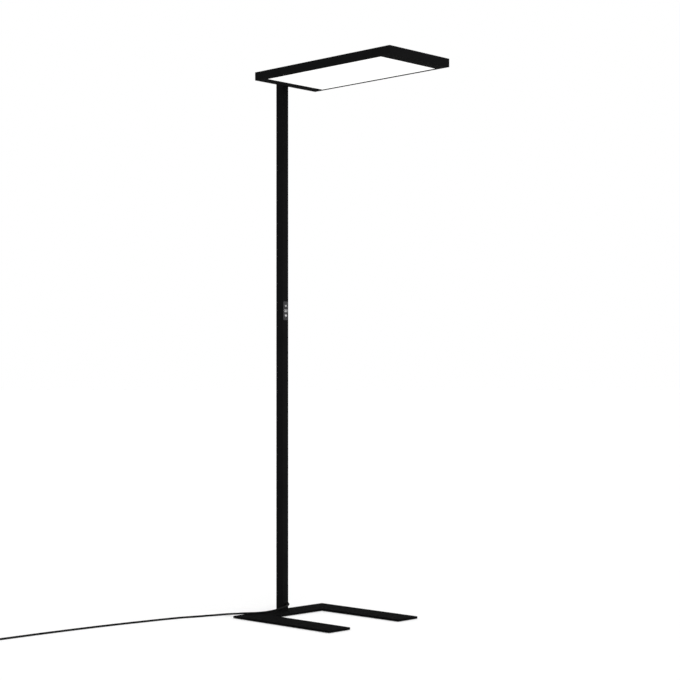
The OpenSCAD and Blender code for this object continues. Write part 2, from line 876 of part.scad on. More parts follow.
// Wide middle key
module key_power() {
    key(keypad_z) {
        pill(power_key_w, power_key_h, 0);
        rounded_rect(power_key_w, power_key_h + 2 * key_flange_rim, power_flange_corner);
    }
}

// Lower round key
module key_down() {
    key(keypad_z - key_pitch) {
        circle(key_d / 2);
        circle(key_d / 2 + key_flange_rim);
    }
}

// ---- Head ----

// Strip of a mitred frame along X, between two distances from the frame's outside
module mitred_strip(length, half, outer, inner) {
    polygon([
        [outer - length / 2, half - outer], [length / 2 - outer, half - outer],
        [length / 2 - inner, half - inner], [inner - length / 2, half - inner]
    ]);
}

// Wall and upper ledge that all four profiles have, the long one along X
module frame_wall(length, half) {
    translate([0, 0, head_z]) linear_extrude(head_t)
        mitred_strip(length, half, 0, head_wall);
    translate([0, 0, cover_z - ledge_t]) linear_extrude(ledge_t)
        mitred_strip(length, half, 0, head_wall + ledge_w);
}

// Side profile with its narrow flange, and holes for the cover's screws
module head_side() {
    translate([head_x, 0, 0]) difference() {
        union() {
            frame_wall(head_l, head_w / 2);
            translate([0, 0, head_z]) linear_extrude(flange_t)
                mitred_strip(head_l, head_w / 2, 0, side_bezel);
        }
        for (x = cover_screw_x)
            translate([x, head_w / 2 - head_wall - ledge_w / 2, cover_z - ledge_t - eps])
                cylinder(h = ledge_t + 2 * eps, r = m3_r + thread_play);
    }
}

// End profile with its wide flange
module head_end() {
    half = head_l / 2;
    edge = head_w / 2;
    rotate([0, 0, -90]) frame_wall(head_w, half);
    translate([0, 0, head_z]) linear_extrude(flange_t) polygon([
        [half, -edge], [half, edge], [half - side_bezel, edge - side_bezel],
        [half - end_bezel, edge - side_bezel], [half - end_bezel, side_bezel - edge],
        [half - side_bezel, side_bezel - edge]
    ]);
}

module head_side_left() {
    color("#17181a") head_side();
}

module head_side_right() {
    color("#17181a") mirror([0, 1, 0]) head_side();
}

// End at the post, with holes for the bracket and the leads
module head_end_post() {
    color("#17181a") difference() {
        translate([head_x, 0, 0]) mirror([1, 0, 0]) head_end();
        translate([0, 0, joint_z]) {
            bar_x(x_front - eps, x_front + head_wall + eps, joint_hole_r);
            bracket_screw_places() bar_x(x_front - eps, x_front + head_wall + eps, m5_r + play);
            for (y = rivet_y)
                translate([0, y, 0]) {
                    bar_x(x_front - eps, x_front + head_wall + eps, rivet_r + thread_play);
                    translate([x_front - eps, 0, 0]) rotate([0, 90, 0])
                        cylinder(h = rivet_head_r - rivet_r + eps,
                                 r1 = rivet_head_r + eps + head_play, r2 = rivet_r + head_play);
                }
        }
    }
}

module head_end_far() {
    color("#17181a") translate([head_x, 0, 0]) head_end();
}

// Pressed-in angles that join the profiles at the four corners
module corner_keys() {
    low_z = head_z + flange_t + angle_lift;
    color("#8d8f91") for (sx = [-1, 1])
        for (sy = [-1, 1])
            translate([head_x, 0, low_z]) scale([sx, sy, 1]) linear_extrude(angle_h)
                translate([head_l / 2 - head_wall, head_w / 2 - head_wall]) {
                    translate([-angle_t, -angle_leg]) square([angle_t, angle_leg]);
                    translate([-angle_leg, -angle_t]) square([angle_leg, angle_t]);
                }
}

// Sheet that closes the head from above, with the window for the upward light
module top_cover() {
    gap = head_wall + cover_gap;
    color("#17181a") translate([head_x, 0, cover_z]) difference() {
        linear_extrude(cover_t) difference() {
            square([head_l - 2 * gap, head_w - 2 * gap], center = true);
            square([window_l, window_w], center = true);
        }
        for (x = cover_screw_x)
            for (sy = [-1, 1])
                translate([x, sy * (head_w / 2 - head_wall - ledge_w / 2), cover_t]) mirror([0, 0, 1])
                    flat_head_hole(m3_r, 2 * m3_r, cover_t, cover_t);
    }
}

// Countersunk screws of the cover
module cover_screws() {
    color("#242527") for (x = cover_screw_x)
        for (sy = [-1, 1])
            translate([head_x + x, sy * (head_w / 2 - head_wall - ledge_w / 2), lamp_h])
                mirror([0, 0, 1]) flat_head_screw(m3_r, 2 * m3_r, cover_t, cover_screw_l);
}

// Satin sheet under the window
module top_window() {
    color("#e9eaea") translate([head_x, 0, cover_z - window_t / 2])
        cube([window_l + 2 * window_lap, window_w + 2 * window_lap, window_t], center = true);
}

// White folded tray that closes the light box and carries the boards
module light_tray() {
    color("#f2f2f0") translate([head_x, 0, tray_z]) difference() {
        translate([0, 0, tray_h / 2]) cube([tray_l, tray_w, tray_h], center = true);
        translate([0, 0, (tray_h - tray_wall) / 2 - eps / 2])
            cube([tray_l - 2 * tray_wall, tray_w - 2 * tray_wall, tray_h - tray_wall + eps],
                 center = true);
        for (y = down_y)
            translate([0, y, tray_h - tray_wall - board_t / 2])
                bar_x(tray_l / 2 - 2 * tray_wall, tray_l / 2 + eps, down_lead_r + play);
    }
}

// Board with a row of light-emitting diodes on its upper side
module led_board(l) {
    translate([0, 0, board_t / 2]) cube([l, board_w, board_t], center = true);
    for (i = [0 : leds_per_board - 1])
        translate([(i + 0.5 - leds_per_board / 2) * l / leds_per_board, 0, board_t + led_h / 2])
            cube([led_a, led_a, led_h], center = true);
}

// Four boards under the tray's roof, shining down on the panel
module led_boards_down() {
    color("#f0efe6") for (y = down_y)
        translate([head_x, y, tray_top - tray_wall]) mirror([0, 0, 1]) led_board(down_l);
}

// Two boards on the tray's roof, shining up through the window
module led_boards_up() {
    color("#f0efe6") for (y = up_y)
        translate([head_x, y, tray_top]) led_board(up_l);
}

// Opal panel: it fills the frame's opening, and its rim lies on the frame's flanges
module light_panel() {
    color("#ffffff") translate([head_x, 0, head_z]) {
        translate([0, 0, flange_t / 2])
            cube([panel_l - 2 * panel_gap, panel_w - 2 * panel_gap, flange_t], center = true);
        translate([0, 0, flange_t + rim_t / 2]) cube([tray_l, tray_w, rim_t], center = true);
    }
}

// Driver in the far end of the head, in a flat metal case
module led_driver() {
    color("#d9dadb")
        translate([driver_x, 0, head_z + flange_t + driver_pad_t + driver_h / 2])
            cube([driver_w, driver_l, driver_h], center = true);
}

// Adhesive pads under the driver
module driver_pads() {
    color("#555555") for (sy = [-1, 1])
        translate([driver_x, sy * driver_l / 3, head_z + flange_t + driver_pad_t / 2])
            cube([driver_pad_w, driver_pad_l, driver_pad_t], center = true);
}

// Terminal block where the mains lead ends
module terminal_block() {
    well_r = 2;
    well_depth = 5;
    low = [terminal_x - terminal_size[0] / 2, terminal_y, head_z + flange_t + bracket_foot_t];
    top = low + terminal_size;
    color("#e6e4da") difference() {
        block(low, top);
        for (i = [-1, 0, 1])
            translate([terminal_x + i * terminal_pitch, (low[1] + top[1]) / 2, top[2] - well_depth])
                cylinder(h = well_depth + eps, r = well_r);
    }
}

// Thin leads from the driver to the ends of the boards
module led_leads() {
    start = driver_x - driver_w / 2;
    color("#b03030") {
        for (y = down_y)
            translate([0, y, tray_top - tray_wall - board_t / 2])
                bar_x(head_x + down_l / 2, start, down_lead_r);
        for (y = up_y)
            translate([0, y, tray_top + board_t / 2])
                bar_x(head_x + up_l / 2, start, up_lead_r);
    }
}

foot_plate();
glide_pads();
foot_block();
foot_screws();
post_tube();
post_set_screws();
post_cap();
post_top_block();
head_bracket();
bracket_screws();
bracket_rivets();
cable_gland();
cord_boot();
mains_cord();
cord_coil();
cord_tail();
plug_body();
plug_contacts();
post_mains_lead();
control_lead();
driver_lead();
keypad_fascia();
keypad_carrier();
keypad_board();
key_switches();
board_screws();
key_up();
key_power();
key_down();
head_side_left();
head_side_right();
head_end_post();
head_end_far();
corner_keys();
top_cover();
cover_screws();
top_window();
light_tray();
led_boards_down();
led_boards_up();
light_panel();
led_driver();
driver_pads();
terminal_block();
led_leads();
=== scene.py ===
import json
import math

import bmesh
import bpy
from mathutils import Matrix, Vector

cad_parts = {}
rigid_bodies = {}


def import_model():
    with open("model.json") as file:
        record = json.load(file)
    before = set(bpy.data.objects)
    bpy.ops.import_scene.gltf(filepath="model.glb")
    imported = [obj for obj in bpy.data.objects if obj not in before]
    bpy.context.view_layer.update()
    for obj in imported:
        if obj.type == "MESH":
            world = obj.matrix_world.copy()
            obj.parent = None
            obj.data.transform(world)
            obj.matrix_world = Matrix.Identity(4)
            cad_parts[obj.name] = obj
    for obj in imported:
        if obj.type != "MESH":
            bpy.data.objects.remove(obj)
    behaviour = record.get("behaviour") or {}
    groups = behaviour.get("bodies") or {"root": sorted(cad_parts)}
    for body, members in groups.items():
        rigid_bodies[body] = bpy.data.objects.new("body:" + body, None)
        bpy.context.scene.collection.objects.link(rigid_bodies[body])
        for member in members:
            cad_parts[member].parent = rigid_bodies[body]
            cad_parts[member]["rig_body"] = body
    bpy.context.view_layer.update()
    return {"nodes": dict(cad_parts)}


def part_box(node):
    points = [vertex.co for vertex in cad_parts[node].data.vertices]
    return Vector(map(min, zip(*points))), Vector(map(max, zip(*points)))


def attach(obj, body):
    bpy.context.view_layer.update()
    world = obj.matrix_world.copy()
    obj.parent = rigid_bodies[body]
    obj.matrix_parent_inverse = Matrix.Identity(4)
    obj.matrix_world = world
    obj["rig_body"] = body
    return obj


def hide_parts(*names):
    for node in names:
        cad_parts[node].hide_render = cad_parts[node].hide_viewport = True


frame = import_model()
solids = frame["nodes"]


# ---- Camera ----
# It stands level, in front of the lamp's near right corner, a little below the middle of
# the post. The picture is square and is shifted up, so that upright edges stay upright.
PICTURE_PX = 680
FOCAL_PX = 1548.17
HORIZON_PX = 383.2
CAMERA_PLACE = (3.7639, -3.9217, 0.8378)
CAMERA_TURN = math.radians(44.06)
FARTHEST_SEEN = 200


def in_scene(name, data):
    """A new object with this data, at the origin of the scene."""
    added = bpy.data.objects.new(name, data)
    bpy.context.scene.collection.objects.link(added)
    return added


camera_data = bpy.data.cameras.new("camera")
camera_data.sensor_width = 36
camera_data.lens = camera_data.sensor_width * FOCAL_PX / PICTURE_PX
camera_data.shift_y = (HORIZON_PX - PICTURE_PX / 2) / PICTURE_PX
camera_data.clip_end = FARTHEST_SEEN
camera = in_scene("camera", camera_data)
camera.location = CAMERA_PLACE
camera.rotation_euler = (math.radians(90), 0, CAMERA_TURN)
bpy.context.scene.camera = camera


# ---- Foot ----
# Laser-cut steel plate, 8 mm thick and open towards the desk. Its edges are ground and it
# is powder-coated matte black, with the fine, slightly pebbled texture of that coating.

# A Mix node takes its factor and two colours at these inputs, and puts their mix out here
MIX_FACTOR = 0
MIX_FIRST = 6
MIX_SECOND = 7
MIX_RESULT = 2


def joined(tree, kind, sockets, **settings):
    """A new node. Each of its sockets gets a value, or is joined to an output."""
    new = tree.nodes.new(kind)
    for name, value in settings.items():
        setattr(new, name, value)
    for name, value in sockets.items():
        if isinstance(value, bpy.types.NodeSocket):
            tree.links.new(value, new.inputs[name])
        else:
            new.inputs[name].default_value = value
    return new


def between(tree, factor, first, second):
    """A colour between two others."""
    mix = joined(tree, "ShaderNodeMix", {MIX_FACTOR: factor, MIX_FIRST: first,
                                         MIX_SECOND: second}, data_type="RGBA")
    return mix.outputs[MIX_RESULT]


def shader_group(name, length, usual, *results):
    """A node group for a pattern whose size is the length that it is given. Returns it with
    its Vector counted in that length, and its results' sockets."""
    group = bpy.data.node_groups.new(name, "ShaderNodeTree")
    group.interface.new_socket("Vector", in_out="INPUT", socket_type="NodeSocketVector")
    size = group.interface.new_socket(length, in_out="INPUT", socket_type="NodeSocketFloat")
    size.default_value = usual
    for socket in results:
        group.interface.new_socket(socket, in_out="OUTPUT", socket_type="NodeSocketFloat")
    given = group.nodes.new("NodeGroupInput").outputs
    per_length = joined(group, "ShaderNodeMath", {0: 1.0, 1: given[length]}, operation="DIVIDE")
    counted = joined(group, "ShaderNodeVectorMath",
                     {0: given["Vector"], "Scale": per_length.outputs[0]}, operation="SCALE")
    return group, counted.outputs[0], group.nodes.new("NodeGroupOutput").inputs


# Pebbled skin of powder coat and moulded plastic: rounded bumps of one size over a finer
# grain. The distance from a bump's middle counts downwards.
BUMP_WEIGHT = -0.7
pebbles, vector, result = shader_group("pebbled_skin", "Size", 0.0008, "Height", "Tone")
bumps = joined(pebbles, "ShaderNodeTexVoronoi", {"Vector": vector, "Scale": 1.0,
                                                 "Smoothness": 0.6}, feature="SMOOTH_F1")
grit = joined(pebbles, "ShaderNodeTexNoise", {"Vector": vector, "Scale": 2.3,
                                              "Detail": 3.0, "Roughness": 0.6})
height = joined(pebbles, "ShaderNodeMath", {0: bumps.outputs["Distance"], 1: BUMP_WEIGHT,
                                            2: grit.outputs["Fac"]}, operation="MULTIPLY_ADD")
tone = joined(pebbles, "ShaderNodeMapRange", {"Value": height.outputs[0], "From Min": -0.2,
                                              "From Max": 0.4})
pebbles.links.new(height.outputs[0], result["Height"])
pebbles.links.new(tone.outputs[0], result["Tone"])

# Soft cloudy marks of handling and cleaning
clouds, vector, result = shader_group("handling_marks", "Size", 0.06, "Mark")
cloud = joined(clouds, "ShaderNodeTexNoise", {"Vector": vector, "Scale": 1.0, "Detail": 5.0,
                                              "Roughness": 0.55, "Distortion": 0.8})
shaped = joined(clouds, "ShaderNodeMapRange", {"Value": cloud.outputs["Fac"],
                                               "From Min": 0.35, "From Max": 0.7})
clouds.links.new(shaped.outputs[0], result["Mark"])


def new_material(name, own):
    """A material with these values on its shader's own sockets, its tree and its shader."""
    material = bpy.data.materials.new(name)
    material.use_nodes = True
    tree = material.node_tree
    shader = tree.nodes["Principled BSDF"]
    for socket, value in own.items():
        shader.inputs[socket].default_value = value
    return material, tree, shader


def object_place(tree):
    """Where each point of a piece lies, in Object coordinates."""
    return tree.nodes.new("ShaderNodeTexCoord").outputs["Object"]


def finished(tree, shader, colour, mark, rough, height, depth, strength=1.0):
    """Joins a colour, a roughness that follows the marks, and a bump to the shader."""
    sheen = joined(tree, "ShaderNodeMapRange", {"Value": mark, "To Min": rough[0],
                                                "To Max": rough[1]})
    bump = joined(tree, "ShaderNodeBump", {"Height": height, "Strength": strength,
                                           "Distance": depth})
    tree.links.new(colour, shader.inputs["Base Color"])
    tree.links.new(sheen.outputs[0], shader.inputs["Roughness"])
    tree.links.new(bump.outputs[0], shader.inputs["Normal"])


MARK_WEIGHT = 0.2


def coated(name, dark, light, rough, size, depth, own=None, marks=0.06):
    """A finish between two colours and two roughnesses, with a skin of that size and depth."""
    material, tree, shader = new_material(name, own or {})
    place = object_place(tree)
    skin = joined(tree, "ShaderNodeGroup", {"Vector": place, "Size": size}, node_tree=pebbles)
    mark = joined(tree, "ShaderNodeGroup", {"Vector": place, "Size": marks}, node_tree=clouds)
    both = joined(tree, "ShaderNodeMath", {0: mark.outputs["Mark"], 1: MARK_WEIGHT,
                                           2: skin.outputs["Tone"]}, operation="MULTIPLY_ADD")
    colour = between(tree, both.outputs[0], (*dark, 1), (*light, 1))
    finished(tree, shader, colour, mark.outputs["Mark"], rough, skin.outputs["Height"], depth)
    return material


def dress(material, *names):
    """These CAD nodes show as they are, in this finish."""
    for name in names:
        solids[name].data.materials.clear()
        solids[name].data.materials.append(material)


SMOOTH_UP_TO = math.radians(35)


def placed(name, mesh, material, body, slot, *replaced):
    """A piece from a bmesh, in its finish, on its body, in the place of these CAD nodes."""
    data = bpy.data.meshes.new(name)
    mesh.to_mesh(data)
    mesh.free()
    data.shade_smooth()
    data.set_sharp_from_angle(angle=SMOOTH_UP_TO)
    data.materials.append(material)
    piece = in_scene(name, data)
    even = piece.modifiers.new("even_shading", "WEIGHTED_NORMAL")
    even.keep_sharp = True
    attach(piece, body)
    if replaced:
        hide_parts(*replaced)
    return piece


SAME_POINT = 1e-6
FLAT_WITHIN = math.radians(0.5)
SHARP_FROM = math.radians(40)
ROUNDING_STEPS = 2


def rounded(name, source, material, slot, radius):
    """A copy of a CAD node that takes its place, with its sharp edges rounded."""
    solid = solids[source]
    mesh = bmesh.new()
    mesh.from_mesh(solid.data)
    bmesh.ops.remove_doubles(mesh, verts=mesh.verts, dist=SAME_POINT)
    bmesh.ops.dissolve_limit(mesh, angle_limit=FLAT_WITHIN, verts=mesh.verts,
                             edges=mesh.edges, delimit=set())
    edges = [e for e in mesh.edges if e.is_manifold and e.calc_face_angle() > SHARP_FROM]
    bmesh.ops.bevel(mesh, geom=edges, offset=radius, offset_type="OFFSET",
                    segments=ROUNDING_STEPS, profile=0.5, affect="EDGES", material=-1,
                    clamp_overlap=True)
    return placed(name, mesh, material, solid["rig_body"], slot, source)


MATTE = {"Specular IOR Level": 0.005}
foot_coat = coated("foot_powder_coat", (0.0013, 0.0013, 0.0014), (0.006, 0.006, 0.0062),
                   rough=(0.8, 0.94), size=0.0008, depth=0.00012, own=MATTE, marks=0.09)
rounded("foot", "foot_plate", foot_coat, "black_steel", radius=0.0006)


# ---- Glide pads ----
# Six self-adhesive discs of a dull black elastomer under the plate. They keep the steel
# off the floor and leave a thin shadow gap round the foot.
pad_rubber = coated("pad_rubber", (0.008, 0.008, 0.008), (0.03, 0.03, 0.029),
                    rough=(0.8, 0.92), size=0.0005, depth=0.00006,
                    own={"Specular IOR Level": 0.2})
rounded("floor_pads", "glide_pads", pad_rubber, "pad_rubber", radius=0.0003)


# ---- Inside the foot of the post ----
# A milled steel block stands on the plate inside the tube. Two zinc-plated countersunk
# screws hold it from below, and two black grub screws lock the tube on it.
LINE_STRETCH = 0.02
brushed, vector, result = shader_group("milled_lines", "Spacing", 0.0004, "Height", "Tone")
drawn = joined(brushed, "ShaderNodeMapping", {"Vector": vector,
                                              "Scale": (1.0, 1.0, LINE_STRETCH)})
lines = joined(brushed, "ShaderNodeTexNoise", {"Vector": drawn.outputs[0], "Scale": 1.0,
                                               "Detail": 4.0, "Roughness": 0.7})
brushed.links.new(lines.outputs["Fac"], result["Height"])
brushed.links.new(lines.outputs["Fac"], result["Tone"])

METAL_MARKS = 0.012
LINE_DEPTH = 0.00002
LINE_STRENGTH = 0.4


def bare_metal(name, dark, light, rough, spacing, turn=(0, 0, 0)):
    """Metal with fine lines along Z, or along where turn takes them."""
    material, tree, shader = new_material(name, {"Metallic": 1.0})
    place = object_place(tree)
    turned = joined(tree, "ShaderNodeMapping", {"Vector": place, "Rotation": turn})
    line = joined(tree, "ShaderNodeGroup", {"Vector": turned.outputs[0], "Spacing": spacing},
                  node_tree=brushed)
    mark = joined(tree, "ShaderNodeGroup", {"Vector": place, "Size": METAL_MARKS},
                  node_tree=clouds)
    colour = between(tree, line.outputs["Tone"], (*dark, 1), (*light, 1))
    finished(tree, shader, colour, mark.outputs["Mark"], rough, line.outputs["Height"],
             LINE_DEPTH, LINE_STRENGTH)
    return material


ALONG_X = (0, math.radians(90), 0)
milled_steel = bare_metal("milled_steel", (0.42, 0.42, 0.41), (0.6, 0.6, 0.59),
                          rough=(0.28, 0.42), spacing=0.0004)
zinc_plate = bare_metal("zinc_plate", (0.55, 0.56, 0.56), (0.72, 0.72, 0.7),
                        rough=(0.22, 0.4), spacing=0.0002, turn=ALONG_X)
black_oxide = bare_metal("black_oxide", (0.03, 0.03, 0.032), (0.07, 0.07, 0.07),
                         rough=(0.35, 0.5), spacing=0.0002, turn=ALONG_X)
dress(milled_steel, "foot_block")
dress(zinc_plate, "foot_screws")
dress(black_oxide, "post_set_screws")


# ---- Post ----
# Rectangular aluminium tube, 36 by 27 mm, extruded with 1 mm corners and powder-coated in
# black like the foot. A moulded cap closes its top, level with the head.
black_coat = coated("black_powder_coat", (0.0022, 0.0022, 0.0023), (0.0098, 0.0098, 0.0102),
                    rough=(0.78, 0.92), size=0.0008, depth=0.00012, own=MATTE, marks=0.09)
rounded("post", "post_tube", black_coat, "black_aluminium", radius=0.0002)
black_plastic = coated("black_moulded_plastic", (0.003, 0.003, 0.0032),
                       (0.011, 0.011, 0.0115), rough=(0.6, 0.75), size=0.0005,
                       depth=0.00005, own={"Specular IOR Level": 0.04})
rounded("post_end_cap", "post_cap", black_plastic, "black_plastic", radius=0.0005)


# ---- Inside the top of the post, and the bracket of the head ----
# The tapped block in the tube is sawn from aluminium bar. The folded bracket in the head
# is zinc-plated steel, with black socket screws and rivets painted over with the frame.
sawn_aluminium = bare_metal("sawn_aluminium", (0.66, 0.66, 0.65), (0.84, 0.84, 0.83),
                            rough=(0.3, 0.45), spacing=0.0005)
dress(sawn_aluminium, "post_top_block")
dress(zinc_plate, "head_bracket")
dress(black_oxide, "bracket_screws")
dress(black_coat, "bracket_rivets")


# ---- Cord outlet ----
# A black gland with a fluted rim is screwed into the post's front face, just above the
# foot. A tapered rubber boot with grooves leaves it and turns the cord to the side.
front_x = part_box("post_tube")[1].x
OUTLET_Z = 0.035
FLUTES = 16
STEPS_PER_FLUTE = 4
FLUTE_DEPTH = 0.0004
FLUTED_FROM_R = 0.0082
# Half of its section: each corner's distance from the post's face, and its radius
gland_profile = [(-0.009, 0.006), (0.0, 0.006), (0.0, 0.0087), (0.0004, 0.009), (0.0021, 0.009),
                 (0.0028, 0.0083), (0.003, 0.0076), (0.003, 0.0064), (0.0026, 0.006),
                 (0.0026, 0.0036), (-0.009, 0.0036)]
mesh = bmesh.new()
corners = [mesh.verts.new((front_x + x, 0, OUTLET_Z + r)) for x, r in gland_profile]
loop = [mesh.edges.new((corners[i - 1], corners[i])) for i in range(len(corners))]
bmesh.ops.spin(mesh, geom=corners + loop, cent=(front_x, 0, OUTLET_Z), axis=(1, 0, 0),
               angle=math.tau, steps=FLUTES * STEPS_PER_FLUTE, use_merge=True)
for v in mesh.verts:
    arm = Vector((0, v.co.y, v.co.z - OUTLET_Z))
    wave = 0.5 + 0.5 * math.cos(FLUTES * math.atan2(arm.y, arm.z))
    if arm.length > FLUTED_FROM_R:
        v.co -= arm.normalized() * FLUTE_DEPTH * wave
bmesh.ops.recalc_face_normals(mesh, faces=mesh.faces)
placed("gland", mesh, black_plastic, "stand", "black_plastic", "cable_gland")


def smooth_route(points, last, step):
    """Points at most step apart on the smooth curve through a route, up to its point last."""
    ends = [2 * points[0] - points[1], *points, 2 * points[-1] - points[-2]]
    line = []
    for i in range(last):
        a, b, c, d = ends[i:i + 4]
        parts = max(1, math.ceil((c - b).length / step))
        for t in (k / parts for k in range(parts)):
            line.append(0.5 * (2 * b + (c - a) * t + (2 * a - 5 * b + 4 * c - d) * t ** 2
                               + (3 * b - a - 3 * c + d) * t ** 3))
    return line + [points[last]]


def tube(name, line, radii, sides, material, *replaced):
    """A round rubber piece along these points, with a radius at each. It rides on the stand
    in the place of these CAD nodes."""
    curve = bpy.data.curves.new(name, "CURVE")
    curve.dimensions = "3D"
    curve.bevel_mode = "ROUND"
    curve.bevel_depth = 1.0
    # A round bevel has four sides, and two more for each step of its resolution
    curve.bevel_resolution = sides // 2 - 2
    curve.use_fill_caps = True
    spline = curve.splines.new("POLY")
    spline.points.add(len(line) - 1)
    for point, place, radius in zip(spline.points, line, radii):
        point.co = (*place, 1)
        point.radius = radius
    curve.materials.append(material)
    piece = in_scene(name, curve)
    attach(piece, "stand")
    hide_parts(*replaced)
    return piece


# The route starts in the gland. Its points lie as offsets from the post's front face, from
# the middle and from the floor.
CORD_R = 0.0035
FLOOR_Z = CORD_R
DECK_PLAY = 0.00005
DECK_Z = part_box("foot_plate")[1].z + CORD_R + DECK_PLAY
route = [
    (0.003, 0, OUTLET_Z), (0.0125, -0.002, OUTLET_Z), (0.0205, -0.007, 0.0343),
    (0.027, -0.015, 0.0327), (0.03, -0.025, 0.03), (0.0295, -0.036, 0.0275),
    (0.0255, -0.047, 0.0243), (0.0185, -0.057, 0.0205), (0.011, -0.067, 0.017),
    (0.004, -0.079, 0.0148), (0, -0.094, DECK_Z + 0.0002), (-0.003, -0.11, DECK_Z),
    (-0.007, -0.126, DECK_Z), (-0.015, -0.143, DECK_Z), (-0.026, -0.159, DECK_Z + 0.0001),
    (-0.038, -0.174, 0.013), (-0.059, -0.183, 0.0104), (-0.086, -0.19, 0.0074),
    (-0.11, -0.207, 0.005), (-0.126, -0.235, FLOOR_Z + 0.0001), (-0.136, -0.262, FLOOR_Z),
    (-0.145, -0.292, FLOOR_Z), (-0.156, -0.322, FLOOR_Z), (-0.169, -0.36, FLOOR_Z),
    (-0.184, -0.438, FLOOR_Z), (-0.196, -0.518, FLOOR_Z), (-0.207, -0.598, FLOOR_Z),
    (-0.216, -0.678, FLOOR_Z), (-0.222, -0.753, FLOOR_Z), (-0.227, -0.828, FLOOR_Z),
    (-0.231, -0.903, FLOOR_Z), (-0.233, -0.978, FLOOR_Z), (-0.2345, -1.055, FLOOR_Z),
    (-0.235, -1.1, FLOOR_Z), (-0.235, -1.128, FLOOR_Z)
]
route = [Vector((front_x + x, y, z)) for x, y, z in route]
BOOT_END = 3
BOOT_R = 0.0056
BOOT_TIP_R = 0.004
BOOT_STEP = 0.0004
BOOT_SIDES = 24
BOOT_GROOVES = 6
GROOVE_DEPTH = 0.0006
GROOVE_NARROWNESS = 4
GROOVED_FROM = 0.12
GROOVED_TO = 0.95
boot_rubber = coated("boot_rubber", (0.003, 0.003, 0.0032), (0.009, 0.009, 0.009),
                     rough=(0.65, 0.8), size=0.0004, depth=0.00004,
                     own={"Specular IOR Level": 0.04})
boot_line = smooth_route(route, BOOT_END, BOOT_STEP)
boot_radii = []
for i in range(len(boot_line)):
    along = i / (len(boot_line) - 1)
    groove = max(0.0, math.cos(math.tau * BOOT_GROOVES * along)) ** GROOVE_NARROWNESS
    grooved = GROOVED_FROM < along < GROOVED_TO
    boot_radii.append(BOOT_R + (BOOT_TIP_R - BOOT_R) * along - GROOVE_DEPTH * groove * grooved)
boot = tube("strain_relief", boot_line, boot_radii, BOOT_SIDES, boot_rubber, "cord_boot")


# ---- Mains cord ----
# Round black cable, 7 mm thick and about 3 m long. It runs over the foot's back edge and
# across the floor. The rest lies in a neat flat coil of two layers, with the plug beside it.
CORD_STEP = 0.007
CORD_SIDES = 16
COIL_TURNS = 6.25
COIL_R = 0.0305
COIL_PITCH = 0.0075
COIL_Y = -1.135
COIL_POINTS = 48
CLIMB_TURNS = 0.5
coil_out_r = COIL_R + COIL_PITCH * COIL_TURNS / 2
coil_x = route[-1].x - coil_out_r
coil = []
for i in range(round(COIL_TURNS * COIL_POINTS) + 1):
    turn = i / COIL_POINTS
    past_middle = turn - COIL_TURNS / 2
    r = COIL_R + COIL_PITCH * abs(past_middle)
    climb = min(1.0, max(0.0, past_middle / CLIMB_TURNS + 0.5))
    coil.append(Vector((coil_x + r * math.cos(-math.tau * turn),
                        COIL_Y + r * math.sin(-math.tau * turn),
                        FLOOR_Z + COIL_PITCH * climb * climb * (3 - 2 * climb))))
# From the coil to the plug, as offsets from the coil's middle and from the floor
TAIL_STEP = 0.006
tail = [(-0.007, -coil_out_r, 0.011), (-0.018, -coil_out_r, 0.0106), (-0.032, -0.0545, 0.0082),
        (-0.046, -0.055, 0.0052), (-0.06, -0.056, 0.0043), (-0.072, -0.0565, 0.0062),
        (-0.084, -0.057, 0.009)]
tail = [Vector((coil_x + x, COIL_Y + y, z)) for x, y, z in tail]
cord_line = (smooth_route(route, len(route) - 1, CORD_STEP) + coil
             + smooth_route(tail, len(tail) - 1, TAIL_STEP))
cord_rubber = coated("cord_rubber", (0.003, 0.003, 0.0032), (0.01, 0.01, 0.01),
                     rough=(0.5, 0.68), size=0.0006, depth=0.00004,
                     own={"Specular IOR Level": 0.06}, marks=0.04)
cord = tube("cord", cord_line, [CORD_R] * len(cord_line), CORD_SIDES, cord_rubber,
            "mains_cord", "cord_coil", "cord_tail")


# ---- Plug ----
# Moulded earthed plug with a side entry. It lies on its back beside the coil, with its
# two nickel-plated pins and the ends of its earth strips facing up.
plug_plastic = coated("plug_plastic", (0.004, 0.004, 0.0043), (0.014, 0.014, 0.0145),
                      rough=(0.38, 0.52), size=0.0007, depth=0.00004,
                      own={"Specular IOR Level": 0.15}, marks=0.02)
plug = rounded("plug", "plug_body", plug_plastic, "black_plastic", radius=0.0006)
nickel = bare_metal("nickel_plate", (0.6, 0.59, 0.55), (0.76, 0.75, 0.71),
                    rough=(0.16, 0.28), spacing=0.0002)
dress(nickel, "plug_contacts")


# ---- Leads ----
# The cord's inner run goes up the post to the terminals in the head. A thin control lead
# and the driver's lead follow the sides of the head. All are sheathed in plain plastic.
lead_sheath = coated("lead_sheath", (0.02, 0.02, 0.022), (0.05, 0.05, 0.052),
                     rough=(0.45, 0.6), size=0.0005, depth=0.00003)
dress(cord_rubber, "post_mains_lead")
dress(lead_sheath, "control_lead", "driver_lead")


# ---- Keypad ----
# A dark grey plate on the front of the post frames three keys: a small sun, a pill with
# the power sign, and a larger sun. The signs are printed in white on the satin keys.
SATIN = {"Specular IOR Level": 0.15}
grey_plate = coated("grey_keypad_plate", (0.016, 0.016, 0.0175), (0.044, 0.044, 0.046),
                    rough=(0.5, 0.66), size=0.0004, depth=0.00005, own=SATIN, marks=0.02)
grey_key = coated("grey_key_cap", (0.014, 0.014, 0.0155), (0.034, 0.034, 0.036),
                  rough=(0.4, 0.52), size=0.00025, depth=0.00003, own=SATIN, marks=0.01)
rounded("keypad_plate", "keypad_fascia", grey_plate, "grey_plastic", radius=0.0003)
for name, source in (("upper_cap", "key_up"), ("middle_cap", "key_power"),
                     ("lower_cap", "key_down")):
    rounded(name, source, grey_key, "grey_plastic", radius=0.0003)

